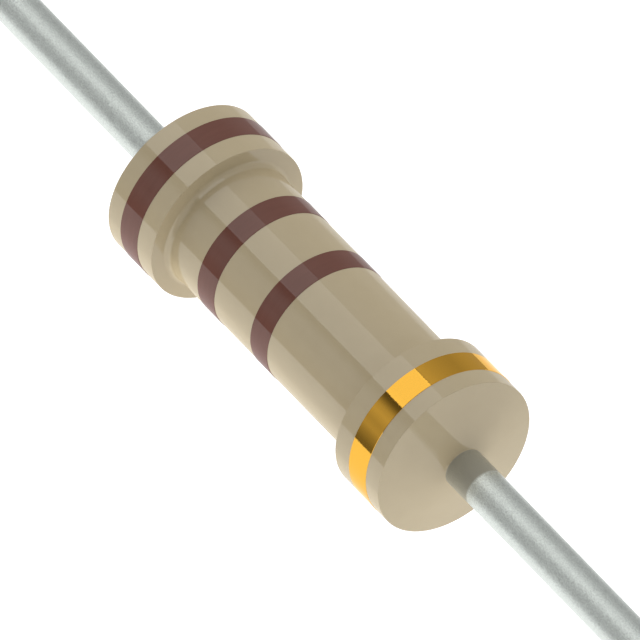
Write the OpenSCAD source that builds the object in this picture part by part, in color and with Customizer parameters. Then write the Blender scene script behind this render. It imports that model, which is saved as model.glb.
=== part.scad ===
// Quarter-watt axial resistor with a carbon film, 110 ohm and 5 percent by its bands.
// A ceramic rod carries the film, and a helical groove through the film sets its value.
// A pressed steel cap sits on each end, with a tinned copper lead butt-welded to it.
// Lacquer covers rod, caps and welds, and the colour bands are painted on the lacquer.
// The axis is X with the gold band towards +X, and the origin is the body's centre.

/* [Core] */
// Diameter of the ceramic rod
rod_d = 1.6; // [1.3:0.05:1.9]
// Length of the ceramic rod
rod_len = 5.34; // [4.8:0.02:6.4]
// Chamfer round each end of the rod
rod_chamfer = 0.05; // [0.02:0.01:0.1]
// Thickness of the carbon film, drawn thicker than the real few micrometres
film_t = 0.02; // [0.015:0.005:0.04]
// Turns of the helical groove that trims the film
trim_turns = 4; // [2:1:6]
// Width of the groove along the axis
trim_w = 0.16; // [0.08:0.02:0.24]
// Plain film left between each cap and the groove
trim_margin = 0.6; // [0.3:0.05:0.9]

/* [End caps] */
// Outside length of each cap
cap_len = 0.8; // [0.7:0.02:1.1]
// Wall of each cap
cap_wall = 0.2; // [0.12:0.01:0.25]
// Radius of the drawn corner round each cap's closed end
cap_corner = 0.08; // [0.04:0.01:0.11]

/* [Leads] */
// Diameter of each lead
lead_d = 0.55; // [0.4:0.05:0.8]
// Length of each lead outside the lacquer
lead_len = 28; // [10:1:38]
// Height and reach of the concave weld flare round each lead's foot
weld_fillet = 0.16; // [0.1:0.01:0.18]
// Thickness of the flare's edge on the cap
weld_lip = 0.03; // [0.02:0.01:0.04]
// Chamfer round each lead's cut end
cut_chamfer = 0.03; // [0.01:0.01:0.08]

/* [Lacquer] */
// Lacquer over the film, along the waist
coat_waist = 0.0925; // [0.06:0.0025:0.12]
// Lacquer over the side of each cap
coat_cap = 0.135; // [0.08:0.005:0.18]
// Lacquer over each cap's closed end, at the rim
coat_face = 0.087; // [0.07:0.001:0.14]
// Lacquer over each cap's open edge
coat_step = 0.053; // [0.03:0.001:0.1]
// Concave fillet between the waist and each bell
waist_fillet = 0.03; // [0.02:0.01:0.2]
// Radius round each rim of a bell
rim_r = 0.005; // [0.005:0.005:0.05]
// Tilt of the conical end faces, in degrees
face_tilt = 13.5; // [8:0.5:20]
// Radius of the meniscus that climbs each lead
meniscus_r = 0.04; // [0.03:0.01:0.2]
// Angle between the meniscus and the lead where it ends, in degrees
wet_angle = 50; // [25:5:60]

/* [Colour bands] */
// Width of each painted band
band_w = 0.364; // [0.25:0.002:0.5]
// Thickness of the paint
paint_t = 0.005; // [0.005:0.005:0.03]
// How far the two bands on the bells sit outward of each bell's middle
bell_band_shift = 0.017; // [0:0.001:0.06]
// From the left bell to the middle of the second band
band_inset = 0.852; // [0.5:0.001:1.1]
// From the middle of the second band to the middle of the third
band_pitch = 1.158; // [0.6:0.001:1.3]

/* [Hidden] */
$fn = 96;

// Radii, from the axis outwards
rod_r = rod_d / 2;
film_r = rod_r + film_t;
cap_r = film_r + cap_wall;
bell_r = cap_r + coat_cap;
waist_r = film_r + coat_waist;
lead_r = lead_d / 2;
weld_r = lead_r + weld_fillet;

// Places along the axis, from the middle outwards
rod_end = rod_len / 2;
cap_face = rod_end + cap_wall;
cap_mouth = cap_face - cap_len;
bell_outer = cap_face + coat_face;
bell_inner = cap_mouth - coat_step;
bell_band_x = (bell_inner + bell_outer) / 2 + bell_band_shift;

// The end face is a cone from the rim to the meniscus, and then an arc up the lead
wet_normal = 90 - wet_angle;
rim_centre = [bell_outer - rim_r, bell_r - rim_r];
cone_top = rim_centre + rim_r * [cos(face_tilt), sin(face_tilt)];
meniscus_top_r = lead_r + meniscus_r * (sin(wet_normal) - sin(face_tilt));
meniscus_top_x = cone_top[0] + (cone_top[1] - meniscus_top_r) * tan(face_tilt);
meniscus_centre = [meniscus_top_x, meniscus_top_r] + meniscus_r * [cos(face_tilt), sin(face_tilt)];
body_tip = meniscus_centre[0] - meniscus_r * cos(wet_normal);
lead_tip = body_tip + lead_len;

// The groove runs between the caps and cuts well past both faces of the film
trim_len = 2 * (cap_mouth - trim_margin);
trim_steps = 24;
trim_rings = trim_turns * trim_steps;
groove_in = 0.8 * rod_r;
groove_out = 1.2 * film_r;

arc_steps = 8;
rim_steps = 3;

// Points of an arc round centre c, from angle a to angle b
function arc(c, r, a, b, steps = arc_steps) = [
    for (i = [0:steps])
        let (t = a + (b - a) * i / steps)
            c + r * [cos(t), sin(t)]
];

// The right half of the lacquer's outline, from the middle of the waist to the lead
half_outline = concat(
    [[0, waist_r]],
    arc([bell_inner - waist_fillet, waist_r + waist_fillet], waist_fillet, -90, 0),
    arc([bell_inner + rim_r, bell_r - rim_r], rim_r, 180, 90, rim_steps),
    arc(rim_centre, rim_r, 90, face_tilt, rim_steps),
    arc(meniscus_centre, meniscus_r, 180 + face_tilt, 180 + wet_normal)
);

// The outside of a cap and of the lead's welded foot, as filled outlines down to the axis
cap_outline = concat(
    [[cap_mouth, 0], [cap_mouth, cap_r]],
    arc([cap_face - cap_corner, cap_r - cap_corner], cap_corner, 90, 0),
    [[cap_face, 0]]
);
lead_outline = concat(
    [[cap_face, 0], [cap_face, weld_r]],
    arc([cap_face + weld_lip + weld_fillet, weld_r], weld_fillet, 180, 270),
    [[lead_tip - cut_chamfer, lead_r], [lead_tip, lead_r - cut_chamfer], [lead_tip, 0]]
);

// Revolves an outline of [x, radius] points round the X axis
module revolve(outline) {
    rotate([0, 90, 0])
        rotate_extrude()
            polygon([for (p = outline) [p[1], p[0]]]);
}

// Keeps its children as they are for the right end, and mirrors them for the left
module at_end(left) {
    mirror([left ? 1 : 0, 0, 0])
        children();
}

// Corners of the groove's section on one ring of its helix
function groove_ring(i) =
    let (angle = 360 * i / trim_steps)
    let (x = trim_len * (i / trim_rings - 0.5))
    [
        for (corner = [[-1, groove_in], [1, groove_in], [1, groove_out], [-1, groove_out]])
            [x + corner[0] * trim_w / 2, corner[1] * cos(angle), corner[1] * sin(angle)]
    ];

// Two triangles for each side of the section, between one ring and the next
function groove_side(i, k) =
    let (a = 4 * i + k)
    let (b = 4 * i + (k + 1) % 4)
    [[a, a + 4, b + 4], [a, b + 4, b]];

module trim_groove() {
    last = 4 * trim_rings;
    sides = [for (i = [0:trim_rings - 1], k = [0:3]) each groove_side(i, k)];
    ends = [[0, 1, 2, 3], [last + 3, last + 2, last + 1, last]];
    polyhedron([for (i = [0:trim_rings]) each groove_ring(i)], concat(sides, ends));
}

module ceramic_rod() {
    color("ivory")
        revolve([
            [-rod_end, 0],
            [-rod_end, rod_r - rod_chamfer],
            [rod_chamfer - rod_end, rod_r],
            [rod_end - rod_chamfer, rod_r],
            [rod_end, rod_r - rod_chamfer],
            [rod_end, 0]
        ]);
}

module carbon_film() {
    film_end = rod_end - rod_chamfer;
    color("dimgray")
        difference() {
            revolve([[-film_end, rod_r], [-film_end, film_r], [film_end, film_r], [film_end, rod_r]]);
            trim_groove();
        }
}

module end_cap(left) {
    color("lightsteelblue")
        at_end(left)
            difference() {
                revolve(cap_outline);
                revolve([[0, 0], [0, film_r], [rod_end, film_r], [rod_end, 0]]);
            }
}

module lead(left) {
    color("silver")
        at_end(left)
            revolve(lead_outline);
}

module lacquer_coating() {
    left_half = [for (i = [len(half_outline) - 1:-1:1]) [-half_outline[i][0], half_outline[i][1]]];
    color([0.71, 0.66, 0.54])
        difference() {
            revolve(concat([[-body_tip, 0]], left_half, half_outline, [[body_tip, 0]]));
            revolve([[-cap_face, 0], [-cap_face, film_r], [cap_face, film_r], [cap_face, 0]]);
            for (left = [false, true])
                at_end(left) {
                    revolve(cap_outline);
                    revolve(lead_outline);
                }
        }
}

// A ring of paint centred at x on a surface of radius r, with bevelled edges
module band(x, r, paint) {
    flat = band_w / 2 - paint_t / 2;
    color(paint)
        revolve([
            [x - band_w / 2, r],
            [x - flat, r + paint_t],
            [x + flat, r + paint_t],
            [x + band_w / 2, r]
        ]);
}

module first_digit_band() {
    band(-bell_band_x, bell_r, "saddlebrown");
}

module second_digit_band() {
    band(band_inset - bell_inner, waist_r, "saddlebrown");
}

module multiplier_band() {
    band(band_inset + band_pitch - bell_inner, waist_r, "saddlebrown");
}

module tolerance_band() {
    band(bell_band_x, bell_r, "goldenrod");
}

ceramic_rod();
carbon_film();
end_cap(true);  // end_cap_left
end_cap(false);  // end_cap_right
lead(true);  // lead_left
lead(false);  // lead_right
lacquer_coating();
first_digit_band();
second_digit_band();
multiplier_band();
tolerance_band();
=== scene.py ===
# Dresses a quarter-watt axial resistor for a close studio view.
# The frame's solids hold the sizes. Each outer piece is turned again on a finer lathe from the same sizes,
# with a softer corner between the waist and each bell.
import math

import bpy
from bpy.props import FloatProperty, FloatVectorProperty, IntProperty, PointerProperty
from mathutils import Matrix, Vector


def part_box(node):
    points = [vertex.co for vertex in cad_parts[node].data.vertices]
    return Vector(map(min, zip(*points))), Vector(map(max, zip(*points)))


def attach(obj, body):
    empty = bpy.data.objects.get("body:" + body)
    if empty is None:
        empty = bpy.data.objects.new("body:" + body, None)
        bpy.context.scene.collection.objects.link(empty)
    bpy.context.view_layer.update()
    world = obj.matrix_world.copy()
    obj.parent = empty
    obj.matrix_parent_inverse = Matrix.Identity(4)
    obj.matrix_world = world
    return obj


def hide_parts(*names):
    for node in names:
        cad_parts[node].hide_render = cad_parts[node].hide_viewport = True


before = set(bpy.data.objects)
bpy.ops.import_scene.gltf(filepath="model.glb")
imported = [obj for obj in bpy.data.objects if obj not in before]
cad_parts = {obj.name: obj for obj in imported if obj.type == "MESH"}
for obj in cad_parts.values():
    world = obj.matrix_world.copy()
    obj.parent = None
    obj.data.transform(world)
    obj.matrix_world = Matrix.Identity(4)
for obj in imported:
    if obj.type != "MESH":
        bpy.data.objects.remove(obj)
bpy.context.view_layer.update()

bl_info = {
    "name": "Axial resistor",
    "version": (1, 0, 0),
    "blender": (4, 5, 0),
    "location": "3D View > Sidebar > Resistor",
    "description": "Builds and finishes a lacquered axial resistor with colour bands and tinned leads",
    "category": "Object",
}

MM = 0.001
MICRON = 0.001 * MM
BODY = "root"

# The bands by node, from the far end to the gold one, with the finish of each
BANDS = {
    "first_digit_band": "brown_paint",
    "second_digit_band": "brown_paint",
    "multiplier_band": "brown_paint",
    "tolerance_band": "gold_paint",
}


def radius_of(node):
    """The largest radius of a turned node."""
    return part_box(node)[1].z


def span_of(node):
    """Where a node starts and ends along the axis."""
    low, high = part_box(node)
    return low.x, high.x


# Colour


def linear(hex_colour):
    """A #rrggbb colour as linear RGB."""
    channels = [int(hex_colour[i:i + 2], 16) / 255 for i in (1, 3, 5)]
    return tuple(c / 12.92 if c <= 0.04045 else ((c + 0.055) / 1.055) ** 2.4 for c in channels)


def colour(name, description, hex_colour):
    """A colour property with that sRGB default."""
    return FloatVectorProperty(
        name=name, description=description, subtype="COLOR", size=3, min=0, max=1, default=linear(hex_colour)
    )


def length(name, description, value):
    """A length property in metres."""
    return FloatProperty(name=name, description=description, unit="LENGTH", precision=6, min=0, default=value)


def angle(name, description, degrees):
    """An angle property with that default."""
    return FloatProperty(name=name, description=description, subtype="ANGLE", default=math.radians(degrees))


def level(name, description, value):
    """A property for how strong a light is."""
    return FloatProperty(name=name, description=description, min=0, default=value)


# Sizes and colours that a user would change


class LacquerSettings(bpy.types.PropertyGroup):
    """The lacquer coating and the paint on it."""

    bell_radius: length("Bell radius", "Radius over each end cap", radius_of("lacquer_coating"))
    paint: length("Paint", "Thickness of each painted band", 0.005 * MM)
    over_face: length("Over face", "Lacquer over each cap's closed end", 0.087 * MM)
    over_mouth: length("Over mouth", "Lacquer over each cap's open edge", 0.053 * MM)
    waist_fillet: length("Waist fillet", "Concave radius between the waist and a bell", 0.08 * MM)
    rim: length("Rim", "Radius round each rim of a bell", 0.005 * MM)
    meniscus: length("Meniscus", "Radius of the lacquer that climbs each lead", 0.04 * MM)
    wall_tilt: angle("Wall tilt", "Tilt of each bell's inner wall", 6)
    face_tilt: angle("Face tilt", "Tilt of the conical ends", 13.5)
    wet_angle: angle("Wet angle", "Angle between meniscus and lead", 50)
    lacquer: colour("Lacquer", "Beige lacquer of the body", "#AA9C7F")
    mottle: colour("Mottle", "Slightly deeper beige where the pigment gathers", "#A89A7D")
    brown: colour("Brown", "Brown band paint", "#643F35")
    gold: colour("Gold", "Metallic gold band paint", "#E5AE43")


class MetalSettings(bpy.types.PropertyGroup):
    """The leads, the caps and the core."""

    lead_radius: length("Lead radius", "Radius of each lead", 0.275 * MM)
    weld_lip: length("Weld lip", "Thickness of the weld flare's edge", 0.03 * MM)
    # A lead's dull foot is painted shade: its first stretch by the lacquer is drawn matt dark grey to stand
    # in for the shade and reflection of the lacquer end
    painted_shade_length: length("Dull length", "Usual length of a lead's dulled foot", 0.45 * MM)
    painted_shade_shift: length("Dull shift", "Added to it on the right foot, taken off on the left", 0.025 * MM)
    cut_chamfer: length("Cut chamfer", "Chamfer round each lead's cut end", 0.03 * MM)
    cap_corner: length("Cap corner", "Drawn corner round each cap's closed end", 0.08 * MM)
    tin: colour("Tin", "Tin on the copper leads", "#D9DFDA")
    # Colour of the painted shade at each lead's foot, which stands in for the lacquer end's shade and
    # reflection
    painted_foot_shade: colour("Dull tin", "Tin oxidised by the weld's heat", "#8E8B7D")
    steel: colour("Steel", "Plated steel of the end caps", "#BDBDB8")
    ceramic: colour("Ceramic", "Fired ceramic rod", "#E4DED0")
    carbon: colour("Carbon", "Pyrolytic carbon film", "#2B2A2A")


class StudioSettings(bpy.types.PropertyGroup):
    """The floor, the light and the camera."""

    azimuth: angle("Azimuth", "Camera's bearing round the part", 55.2)
    elevation: angle("Elevation", "Camera's height angle", 45.7)
    frame_width: length("Frame width", "Width of the view at the part", 8.01 * MM)
    softbox_level: level("Softbox", "Radiance of the overhead softbox", 1.24)
    table_level: level("Table light", "Radiance of the soft light from below", 0.39)
    side_level: level("Side light", "Irradiance of the strongest soft light from the side", 2.75)
    floor_glow: level("Floor glow", "Light that the floor adds by itself", 0.49)
    floor_drop: length("Floor drop", "How far the floor lies below the part", 30 * MM)
    lathe_steps: IntProperty(
        name="Lathe steps", description="Facets round each turned piece", min=24, default=256
    )


# Turned meshes

# Edges that turn by more than this stay sharp
SHARP_ANGLE = math.radians(25)

# Steps round the fillet beside the waist and round each rim
FILLET_STEPS = 24
RIM_STEPS = 6

# A stretch of outline longer than this gets a point near both of its ends, with that gap to them
LONG_STRETCH = 32 * MICRON
SUPPORT_GAP = 4 * MICRON


def arc(centre, radius, start, end, steps=16):
    """Points of an arc in the (x, radius) plane, with the angles in radians."""
    angles = [start + (end - start) * i / steps for i in range(steps + 1)]
    return [(centre[0] + radius * math.cos(a), centre[1] + radius * math.sin(a)) for a in angles]


def supported(outline, closed):
    """The outline with a point close to both ends of each long stretch, which keeps its shading straight."""
    points = []
    pairs = zip(outline, outline[1:] + outline[:1]) if closed else zip(outline, outline[1:])
    for a, b in pairs:
        points.append(a)
        reach = math.dist(a, b)
        if reach > LONG_STRETCH:
            for t in (SUPPORT_GAP / reach, 1 - SUPPORT_GAP / reach):
                points.append((a[0] + (b[0] - a[0]) * t, a[1] + (b[1] - a[1]) * t))
    return points if closed else points + [outline[-1]]


def turned(name, outline, steps, hollow=False):
    """A closed mesh turned round the X axis from an outline of (x, radius) points.

    A hollow outline is a loop that stays off the axis, and any other starts and ends on it."""
    points = supported(outline, closed=hollow)
    rings = points if hollow else points[1:-1]
    vertices = [
        (x, r * math.cos(2 * math.pi * k / steps), r * math.sin(2 * math.pi * k / steps))
        for x, r in rings
        for k in range(steps)
    ]
    faces = []
    for i in range(len(rings) if hollow else len(rings) - 1):
        a, b = i * steps, (i + 1) % len(rings) * steps
        for k in range(steps):
            n = (k + 1) % steps
            faces.append((a + k, a + n, b + n, b + k))
    if not hollow:
        first, last = len(vertices), len(vertices) + 1
        vertices += [(points[0][0], 0, 0), (points[-1][0], 0, 0)]
        tail = (len(rings) - 1) * steps
        for k in range(steps):
            n = (k + 1) % steps
            faces.append((first, n, k))
            faces.append((last, tail + k, tail + n))
    mesh = bpy.data.meshes.new(name)
    mesh.from_pydata(vertices, [], faces)
    mesh.validate()
    mesh.shade_smooth()
    mesh.set_sharp_from_angle(angle=SHARP_ANGLE)
    piece = bpy.data.objects.new(name, mesh)
    bpy.context.scene.collection.objects.link(piece)
    return piece


def stand_in(piece, node, material):
    """The piece takes a node's place and rides with the part."""
    piece.data.materials.append(material)
    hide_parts(node)
    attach(piece, BODY)


def cap_outline(settings):
    """The right cap's outside as (x, radius) points, from its mouth to its closed face."""
    mouth, face = span_of("end_cap_right")
    radius = radius_of("end_cap_right")
    corner = settings.cap_corner
    return [(mouth, radius)] + arc((face - corner, radius - corner), corner, math.pi / 2, 0)


def weld_outline(settings):
    """The right lead's welded foot as (x, radius) points, from the cap's face to the plain wire."""
    face = span_of("lead_right")[0]
    flare = radius_of("lead_right")
    reach = flare - settings.lead_radius
    centre = (face + settings.weld_lip + reach, flare)
    return [(face, flare)] + arc(centre, reach, math.pi, 1.5 * math.pi)


def lacquer_outline(lacquer, metal):
    """The right half of the lacquer's outside, from the middle of the waist to the lead."""
    waist = radius_of("multiplier_band") - lacquer.paint
    mouth, face = span_of("end_cap_right")
    inner, outer = mouth - lacquer.over_mouth, face + lacquer.over_face
    fillet, rim, tilt = lacquer.waist_fillet, lacquer.rim, lacquer.face_tilt
    ridge = lacquer.bell_radius - rim
    wet = math.pi / 2 - lacquer.wet_angle
    cone = (outer - rim + rim * math.cos(tilt), ridge + rim * math.sin(tilt))
    foot_radius = metal.lead_radius + lacquer.meniscus * (math.sin(wet) - math.sin(tilt))
    foot = (cone[0] + (cone[1] - foot_radius) * math.tan(tilt), foot_radius)
    centre = (foot[0] + lacquer.meniscus * math.cos(tilt), foot[1] + lacquer.meniscus * math.sin(tilt))
    # The bell's inner wall leans outwards, and is tangent to the rim above and the fillet below
    lean = lacquer.wall_tilt
    top = (inner + rim - rim * math.cos(lean), ridge + rim * math.sin(lean))
    drop = top[1] - waist - fillet * (1 - math.sin(lean))
    corner = top[0] - drop * math.tan(lean) - fillet * math.cos(lean)
    return (
        arc((corner, waist + fillet), fillet, -math.pi / 2, -lean, FILLET_STEPS)
        + arc((inner + rim, ridge), rim, math.pi - lean, math.pi / 2, RIM_STEPS)
        + arc((outer - rim, ridge), rim, math.pi / 2, tilt, RIM_STEPS)
        + arc(centre, lacquer.meniscus, math.pi + tilt, math.pi + wet)
    )


def mirrored(outline):
    """The outline at the other end, still running from left to right."""
    return [(-x, r) for x, r in reversed(outline)]


# Materials


def add_node(tree, kind, inputs=None, **settings):
    """Adds a node, sets its settings, and fills or links the inputs named by socket name or number."""
    node = tree.nodes.new(kind)
    for key, value in settings.items():
        setattr(node, key, value)
    for key, value in (inputs or {}).items():
        if isinstance(value, bpy.types.NodeSocket):
            tree.links.new(value, node.inputs[key])
        else:
            node.inputs[key].default_value = value
    return node


def new_material(name, **shader_inputs):
    """A material with one Principled shader, returned with its tree and shader."""
    material = bpy.data.materials.new(name)
    material.use_nodes = True
    tree = material.node_tree
    shader = tree.nodes["Principled BSDF"]
    for key, value in shader_inputs.items():
        shader.inputs[key.replace("_", " ")].default_value = value
    return material, tree, shader


def rgba(rgb):
    return (*rgb, 1)


def shaded(rgb, factor):
    return tuple(c * factor for c in rgb)


# Noise lies mostly between these, and is spread from there to 0 and 1
NOISE_RANGE = (0.3, 0.7)


def uneven(tree, grain, detail=2, stretch=(1, 1, 1)):
    """An uneven pattern from 0 to 1 in the part's own space, with its grain in metres."""
    place = add_node(tree, "ShaderNodeTexCoord").outputs["Object"]
    if stretch != (1, 1, 1):
        place = add_node(tree, "ShaderNodeMapping", {"Vector": place, "Scale": stretch}).outputs["Vector"]
    cloud = add_node(tree, "ShaderNodeTexNoise", {"Vector": place, "Scale": 1 / grain, "Detail": detail})
    return add_node(
        tree, "ShaderNodeMapRange",
        {"Value": cloud.outputs["Fac"], "From Min": NOISE_RANGE[0], "From Max": NOISE_RANGE[1]},
    ).outputs["Result"]


def dress(tree, shader, tones, roughness, relief):
    """Gives a shader its tones, roughness and relief, each by a pattern, and returns the tone.

    Tones and roughness are (pattern, low, high), and relief is (pattern, depth in metres)."""
    pattern, low, high = tones
    tone = add_node(
        tree, "ShaderNodeMix", {"Factor": pattern, "A": rgba(low), "B": rgba(high)}, data_type="RGBA"
    ).outputs["Result"]
    pattern, low, high = roughness
    rough = add_node(
        tree, "ShaderNodeMapRange", {"Value": pattern, "To Min": low, "To Max": high}
    ).outputs["Result"]
    pattern, depth = relief
    bump = add_node(
        tree, "ShaderNodeBump", {"Height": pattern, "Distance": depth, "Strength": 1}
    ).outputs["Normal"]
    sockets = {"Base Color": tone, "Roughness": rough, "Normal": bump, "Coat Normal": bump}
    for name, value in sockets.items():
        tree.links.new(value, shader.inputs[name])
    return tone


def beige_lacquer(lacquer):
    # Dip-coated epoxy lacquer: the pigment settles to a matt body under a skin of clear hard gloss
    material, tree, shader = new_material(
        "beige_lacquer", Specular_IOR_Level=0, Coat_Weight=0.43, Coat_Roughness=0.03, Coat_IOR=2.15
    )
    dress(
        tree, shader,
        (uneven(tree, 0.25 * MM, 4), lacquer.lacquer, lacquer.mottle),
        (uneven(tree, 0.4 * MM), 0.4, 0.6),
        (uneven(tree, 0.5 * MM, 1), 0.04 * MICRON),
    )
    return material


def brown_paint(lacquer):
    # Wheel-printed enamel: glossy, with faint streaks where the wheel laid it round the body
    material, tree, shader = new_material(
        "brown_paint", Specular_IOR_Level=0, Coat_Weight=0.39, Coat_Roughness=0.03, Coat_IOR=1.9
    )
    streaks = uneven(tree, 0.06 * MM, 2, (1, 0.1, 0.1))
    dress(
        tree, shader,
        (streaks, shaded(lacquer.brown, 0.96), shaded(lacquer.brown, 1.04)),
        (uneven(tree, 0.3 * MM), 0.4, 0.6),
        (streaks, 0.05 * MICRON),
    )
    return material


def gold_paint(lacquer):
    # Bronze-flake paint under clear lacquer: a bright mirror gold with a slight grain of flakes
    material, tree, shader = new_material("gold_paint", Metallic=1, Specular_Tint=rgba(linear("#FFF1D4")))
    flakes = uneven(tree, 0.02 * MM, 1)
    dress(
        tree, shader,
        (flakes, shaded(lacquer.gold, 0.97), lacquer.gold),
        (flakes, 0.04, 0.07),
        (flakes, 0.05 * MICRON),
    )
    return material


# The painted shade at a lead's foot fades into the bright tin over this share of its length
PAINTED_SHADE_FADE = 0.08


def tinned_copper(metal):
    # Drawn copper wire, hot-tinned: satin with a fine grain. Its foot by the lacquer is painted matt dark
    # grey, which stands in for the shade and reflection of the lacquer end
    material, tree, shader = new_material("tinned_copper", Anisotropic=0.65)
    tangent = add_node(tree, "ShaderNodeTangent", direction_type="RADIAL", axis="X")
    tree.links.new(tangent.outputs["Tangent"], shader.inputs["Tangent"])
    # The real grain is a few microns wide, and is drawn 17 microns wide so that it shows
    grain = uneven(tree, 0.017 * MM, 2, (0.7, 1, 1))
    bright = dress(
        tree, shader,
        (grain, shaded(metal.tin, 0.8), shaded(metal.tin, 1.15)),
        (grain, 0.3, 0.38),
        (grain, 2.2 * MICRON),
    )
    # Painted shade at the foot: matt dark grey and not metallic from the lacquer out to a set length, then
    # bright tin
    place = add_node(tree, "ShaderNodeTexCoord").outputs["Object"]
    along = add_node(tree, "ShaderNodeSeparateXYZ", {"Vector": place}).outputs["X"]
    shifted = add_node(tree, "ShaderNodeMath", {0: along, 1: metal.painted_shade_shift}, operation="SUBTRACT")
    outward = add_node(tree, "ShaderNodeMath", {0: shifted.outputs["Value"]}, operation="ABSOLUTE")
    painted_shade_end = span_of("lacquer_coating")[1] + metal.painted_shade_length
    beyond_painted_shade = add_node(
        tree, "ShaderNodeMapRange",
        {
            "Value": outward.outputs["Value"],
            "From Min": painted_shade_end - PAINTED_SHADE_FADE * metal.painted_shade_length,
            "From Max": painted_shade_end,
        },
    ).outputs["Result"]
    finish = add_node(
        tree, "ShaderNodeMix", {"Factor": beyond_painted_shade, "A": rgba(metal.painted_foot_shade), "B": bright}, data_type="RGBA"
    )
    tree.links.new(finish.outputs["Result"], shader.inputs["Base Color"])
    tree.links.new(beyond_painted_shade, shader.inputs["Metallic"])
    return material


def cap_steel(metal):
    # Deep-drawn steel cup, tin plated: bright, with rings left by the draw
    material, tree, shader = new_material("cap_steel", Metallic=1)
    rings = uneven(tree, 0.05 * MM, 3, (1, 0.1, 0.1))
    dress(
        tree, shader,
        (rings, shaded(metal.steel, 0.9), metal.steel),
        (rings, 0.25, 0.4),
        (rings, 0.5 * MICRON),
    )
    return material


def ceramic(metal):
    # Extruded and fired ceramic: chalky off-white, with a fine open grain
    material, tree, shader = new_material("ceramic", IOR=1.6)
    grain = uneven(tree, 0.04 * MM, 4)
    dress(
        tree, shader,
        (grain, shaded(metal.ceramic, 0.92), metal.ceramic),
        (grain, 0.5, 0.7),
        (grain, 1.5 * MICRON),
    )
    return material


def carbon(metal):
    # Carbon cracked from gas onto the rod: a dark grey satin skin that follows the ceramic's grain
    material, tree, shader = new_material("carbon", IOR=1.8)
    grain = uneven(tree, 0.04 * MM, 4)
    dress(
        tree, shader,
        (grain, metal.carbon, shaded(metal.carbon, 1.5)),
        (grain, 0.3, 0.45),
        (grain, 0.8 * MICRON),
    )
    return material


# Operators


class RESISTOR_OT_core(bpy.types.Operator):
    """Finishes the ceramic rod, the trimmed carbon film and the two pressed caps inside the lacquer"""

    bl_idname = "resistor.core"
    bl_label = "Core and caps"

    def execute(self, context):
        metal = context.scene.resistor_metal
        steel = cap_steel(metal)
        finishes = {
            "ceramic_rod": ceramic(metal),
            "carbon_film": carbon(metal),
            "end_cap_left": steel,
            "end_cap_right": steel,
        }
        for node, material in finishes.items():
            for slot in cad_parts[node].material_slots:
                slot.material = material
        return {"FINISHED"}


class RESISTOR_OT_leads(bpy.types.Operator):
    """Turns the two tinned copper leads with their welded feet"""

    bl_idname = "resistor.leads"
    bl_label = "Leads"

    def execute(self, context):
        metal = context.scene.resistor_metal
        steps = context.scene.resistor_studio.lathe_steps
        foot, tip = span_of("lead_right")
        radius, chamfer = metal.lead_radius, metal.cut_chamfer
        outline = (
            [(foot, 0)]
            + weld_outline(metal)
            + [(tip - chamfer, radius), (tip, radius - chamfer), (tip, 0)]
        )
        tin = tinned_copper(metal)
        for side, half in (("left", mirrored(outline)), ("right", outline)):
            stand_in(turned(f"lead_wire_{side}", half, steps), f"lead_{side}", tin)
        return {"FINISHED"}


class RESISTOR_OT_lacquer(bpy.types.Operator):
    """Turns the lacquer skin, with its bells, waist, conical ends and the seat of everything inside it"""

    bl_idname = "resistor.lacquer"
    bl_label = "Lacquer coating"

    def execute(self, context):
        scene = context.scene
        lacquer, metal = scene.resistor_lacquer, scene.resistor_metal
        outside = lacquer_outline(lacquer, metal)
        film = radius_of("carbon_film")
        inside = [(span_of("end_cap_right")[0], film)] + cap_outline(metal) + weld_outline(metal)
        loop = mirrored(outside) + outside + list(reversed(mirrored(inside) + inside))
        skin = turned("lacquer_skin", loop, scene.resistor_studio.lathe_steps, hollow=True)
        stand_in(skin, "lacquer_coating", beige_lacquer(lacquer))
        return {"FINISHED"}


class RESISTOR_OT_bands(bpy.types.Operator):
    """Turns the painted colour bands with their bevelled edges"""

    bl_idname = "resistor.bands"
    bl_label = "Colour bands"

    def execute(self, context):
        scene = context.scene
        lacquer = scene.resistor_lacquer
        paint = lacquer.paint
        finishes = {"brown_paint": brown_paint(lacquer), "gold_paint": gold_paint(lacquer)}
        for node, finish in BANDS.items():
            start, end = span_of(node)
            top = radius_of(node)
            seat = top - paint
            outline = [(start, seat), (start + paint / 2, top), (end - paint / 2, top), (end, seat)]
            name = node.replace("_band", "_ring")
            ring = turned(name, outline, scene.resistor_studio.lathe_steps, hollow=True)
            stand_in(ring, node, finishes[finish])
        return {"FINISHED"}


class RESISTOR_OT_stage(bpy.types.Operator):
    """Sets the white floor, the overhead softbox, the grey surround and the camera"""

    bl_idname = "resistor.stage"
    bl_label = "Studio"

    def execute(self, context):
        studio = context.scene.resistor_studio
        add_floor(studio)
        add_softbox(studio)
        add_fill(studio)
        add_surround()
        add_camera(studio)
        context.scene.view_settings.view_transform = "Standard"
        return {"FINISHED"}


# Studio

WHITE = (1, 1, 1, 1)

# The softbox spans these shares of its height, read from its edges in the glossy bands
SOFTBOX_HEIGHT = 300 * MM
SOFTBOX_X = (-1.0, 1.0)
SOFTBOX_Y = (-0.639, 0.238)

# The floor ends where the surround takes over, this far below the horizon
FLOOR_HORIZON = math.radians(12.6)
FLOOR_SIDES = 96
FLOOR_WHITE = linear("#EEEEEE")

# The floor's own light fades to this share between these distances behind the part
BACK_GLOW = 0.72
GLOW_FADE = (20 * MM, 80 * MM)


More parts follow.
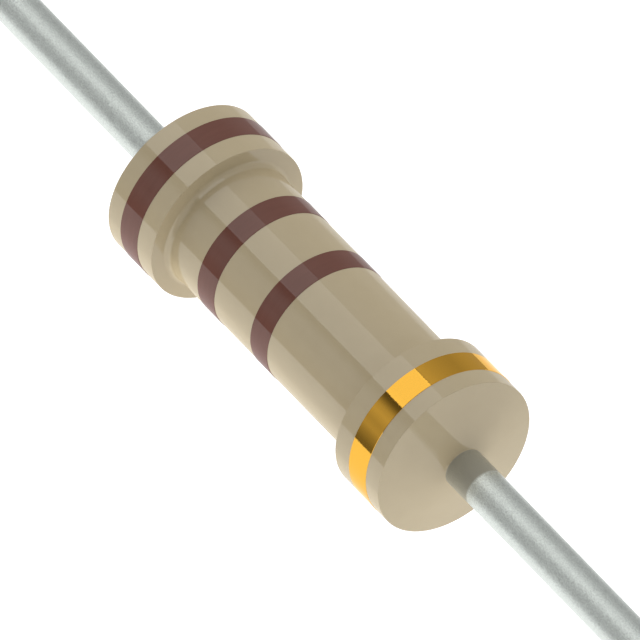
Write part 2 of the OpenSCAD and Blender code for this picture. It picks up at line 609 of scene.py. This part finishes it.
def add_floor(studio):
    """A round white floor well below the part, a little brighter than the light that falls on it."""
    radius = studio.floor_drop / math.tan(FLOOR_HORIZON)
    angles = [2 * math.pi * k / FLOOR_SIDES for k in range(FLOOR_SIDES)]
    edge = [(radius * math.cos(a), radius * math.sin(a), -studio.floor_drop) for a in angles]
    mesh = bpy.data.meshes.new("floor")
    mesh.from_pydata(edge, [], [range(FLOOR_SIDES)])
    floor = bpy.data.objects.new("floor", mesh)
    bpy.context.scene.collection.objects.link(floor)
    # White acrylic sheet, lit from behind: it is plain, pale and matt
    material, tree, shader = new_material(
        "white_acrylic", Roughness=0.6, Specular_IOR_Level=0,
        Base_Color=rgba(FLOOR_WHITE), Emission_Color=WHITE,
    )
    # Its own light fades towards the back, where gold and leads mirror a dimmer floor, but it stays white
    place = add_node(tree, "ShaderNodeTexCoord").outputs["Object"]
    back = add_node(tree, "ShaderNodeSeparateXYZ", {"Vector": place}).outputs["Y"]
    glow = add_node(
        tree, "ShaderNodeMapRange",
        {
            "Value": back, "From Min": GLOW_FADE[0], "From Max": GLOW_FADE[1],
            "To Min": studio.floor_glow, "To Max": BACK_GLOW * studio.floor_glow,
        },
    )
    tree.links.new(glow.outputs["Result"], shader.inputs["Emission Strength"])
    floor.data.materials.append(material)
    # The sheet lets the light below it through
    floor.visible_shadow = False


def add_softbox(studio):
    """A rectangular softbox overhead, long along the leads."""
    wide = (SOFTBOX_X[1] - SOFTBOX_X[0]) * SOFTBOX_HEIGHT
    deep = (SOFTBOX_Y[1] - SOFTBOX_Y[0]) * SOFTBOX_HEIGHT
    light = bpy.data.lights.new("softbox", "AREA")
    light.shape = "RECTANGLE"
    light.size, light.size_y = wide, deep
    light.energy = studio.softbox_level * math.pi * wide * deep
    lamp = bpy.data.objects.new("softbox", light)
    lamp.location = (
        sum(SOFTBOX_X) / 2 * SOFTBOX_HEIGHT,
        sum(SOFTBOX_Y) / 2 * SOFTBOX_HEIGHT,
        SOFTBOX_HEIGHT,
    )
    lamp.visible_camera = False
    bpy.context.scene.collection.objects.link(lamp)


# The light from below is this many times as wide as the floor lies deep, and lies just above the floor
TABLE_WIDTH = 10
TABLE_DEPTH = 0.99

# How far across the sky a soft side light spreads
SIDE_SPREAD = math.radians(60)

# The soft side lights: where each stands, and its share of the level
SIDE_LIGHTS = (
    ("front_light", (0, -0.5, -0.866), 1),
    ("far_end_light", (-0.906, 0, 0.423), 0.49),
    ("near_end_light", (0.985, 0, 0.174), 0.16),
    ("back_light", (0, 0.98, 0.17), 0.35),
)


def add_fill(studio):
    """Soft light from the pale table and from the sides, which polished metal doesn't show."""
    table = bpy.data.lights.new("table_light", "AREA")
    table.shape = "DISK"
    table.size = TABLE_WIDTH * studio.floor_drop
    table.energy = studio.table_level * math.pi * math.pi / 4 * table.size ** 2
    fills = [(table, Vector((0, 0, -1)))]
    for name, back, share in SIDE_LIGHTS:
        side = bpy.data.lights.new(name, "SUN")
        side.angle = SIDE_SPREAD
        side.energy = share * studio.side_level
        fills.append((side, Vector(back)))
    for light, back in fills:
        lamp = bpy.data.objects.new(light.name, light)
        lamp.location = TABLE_DEPTH * studio.floor_drop * back
        lamp.rotation_euler = back.to_track_quat("Z", "Y").to_euler()
        lamp.visible_camera = False
        lamp.visible_glossy = False
        bpy.context.scene.collection.objects.link(lamp)


# Grey levels of the surround by the height of a direction, towards -Y and towards +Y
SURROUND_FRONT = (
    (-0.22, 0.18), (-0.13, 0.20), (0.04, 0.34), (0.16, 0.48), (0.29, 0.43), (0.45, 0.56), (0.54, 0.47),
    (0.64, 0.14), (0.70, 0.08), (0.75, 0.02),
)
SURROUND_BACK = (
    (-0.16, 0.47), (0.13, 0.45), (0.27, 0.42), (0.40, 0.38), (0.52, 0.40), (0.62, 0.43), (0.72, 0.48),
    (0.80, 0.56),
)

# The front greys turn to the back ones between these, by how far a direction points to +Y
SURROUND_TURN = (0.16, 0.22)
SURROUND_LEVEL = 1.1


def grey_ramp(tree, height, stops):
    """A grey level by height, through those stops."""
    share = add_node(
        tree, "ShaderNodeMapRange", {"Value": height, "From Min": -1, "From Max": 1}
    ).outputs["Result"]
    ramp = add_node(tree, "ShaderNodeValToRGB", {"Fac": share})
    elements = ramp.color_ramp.elements
    while len(elements) < len(stops):
        elements.new(0.5)
    for element, (z, grey) in zip(elements, stops):
        element.position = (z + 1) / 2
        element.color = rgba((grey, grey, grey))
    return ramp.outputs["Color"]


def add_surround():
    """A grey studio round the part, and plain white where the camera looks straight at it."""
    world = bpy.data.worlds.new("surround")
    world.use_nodes = True
    tree = world.node_tree
    tree.nodes.clear()
    direction = add_node(tree, "ShaderNodeTexCoord").outputs["Generated"]
    axes = add_node(tree, "ShaderNodeSeparateXYZ", {"Vector": direction}).outputs
    side = add_node(
        tree, "ShaderNodeMapRange",
        {"Value": axes["Y"], "From Min": SURROUND_TURN[0], "From Max": SURROUND_TURN[1]},
        interpolation_type="SMOOTHSTEP",
    ).outputs["Result"]
    walls = add_node(tree, "ShaderNodeMix", {"Factor": side}, data_type="RGBA")
    tree.links.new(grey_ramp(tree, axes["Z"], SURROUND_FRONT), walls.inputs["A"])
    tree.links.new(grey_ramp(tree, axes["Z"], SURROUND_BACK), walls.inputs["B"])
    seen = add_node(tree, "ShaderNodeLightPath").outputs["Is Camera Ray"]
    light = add_node(
        tree, "ShaderNodeBackground", {"Color": walls.outputs["Result"], "Strength": SURROUND_LEVEL}
    )
    white = add_node(tree, "ShaderNodeBackground", {"Color": WHITE})
    mix = add_node(
        tree, "ShaderNodeMixShader",
        {0: seen, 1: light.outputs["Background"], 2: white.outputs["Background"]},
    )
    add_node(tree, "ShaderNodeOutputWorld", {"Surface": mix.outputs["Shader"]})
    bpy.context.scene.world = world


# The body's centre sits this far right of and above the middle of the photograph's frame, in its pixels
FRAME_PIXELS = 640
CENTRE_OFFSET = (-1.0, 1.8)

# How far the camera stands back, and how near and far it sees
CAMERA_BACK = 100 * MM
CAMERA_CLIP = (1 * MM, 10)


def add_camera(studio):
    """A far camera with no perspective, looking down on the gold end."""
    az, el = studio.azimuth, studio.elevation
    back = Vector((math.sin(az) * math.cos(el), -math.cos(az) * math.cos(el), math.sin(el)))
    turn = (-back).to_track_quat("-Z", "Y")
    pixel = studio.frame_width / FRAME_PIXELS
    camera = bpy.data.cameras.new("camera")
    camera.type = "ORTHO"
    camera.ortho_scale = studio.frame_width
    camera.clip_start, camera.clip_end = CAMERA_CLIP
    view = bpy.data.objects.new("camera", camera)
    aim = turn @ Vector((-CENTRE_OFFSET[0] * pixel, -CENTRE_OFFSET[1] * pixel, 0))
    view.location = aim + back * CAMERA_BACK
    view.rotation_euler = turn.to_euler()
    bpy.context.scene.collection.objects.link(view)
    bpy.context.scene.camera = view


class RESISTOR_PT_panel(bpy.types.Panel):
    """Lists the resistor's sizes, colours and steps."""

    bl_label = "Axial resistor"
    bl_idname = "RESISTOR_PT_panel"
    bl_space_type = "VIEW_3D"
    bl_region_type = "UI"
    bl_category = "Resistor"

    def draw(self, context):
        layout = self.layout
        for group in SETTINGS:
            settings = getattr(context.scene, group)
            box = layout.box()
            for name in settings.bl_rna.properties.keys():
                if name not in ("rna_type", "name"):
                    box.prop(settings, name)
        for operator in OPERATORS:
            layout.operator(operator.bl_idname)


SETTINGS = {
    "resistor_lacquer": LacquerSettings,
    "resistor_metal": MetalSettings,
    "resistor_studio": StudioSettings,
}
OPERATORS = (
    RESISTOR_OT_core, RESISTOR_OT_leads, RESISTOR_OT_lacquer, RESISTOR_OT_bands, RESISTOR_OT_stage,
)


def register():
    for group, settings in SETTINGS.items():
        bpy.utils.register_class(settings)
        setattr(bpy.types.Scene, group, PointerProperty(type=settings))
    for operator in OPERATORS:
        bpy.utils.register_class(operator)
    bpy.utils.register_class(RESISTOR_PT_panel)


def unregister():
    bpy.utils.unregister_class(RESISTOR_PT_panel)
    for operator in reversed(OPERATORS):
        bpy.utils.unregister_class(operator)
    for group, settings in SETTINGS.items():
        delattr(bpy.types.Scene, group)
        bpy.utils.unregister_class(settings)


def main():
    register()
    bpy.ops.resistor.core()
    bpy.ops.resistor.leads()
    bpy.ops.resistor.lacquer()
    bpy.ops.resistor.bands()
    bpy.ops.resistor.stage()


if __name__ == "__main__":
    main()
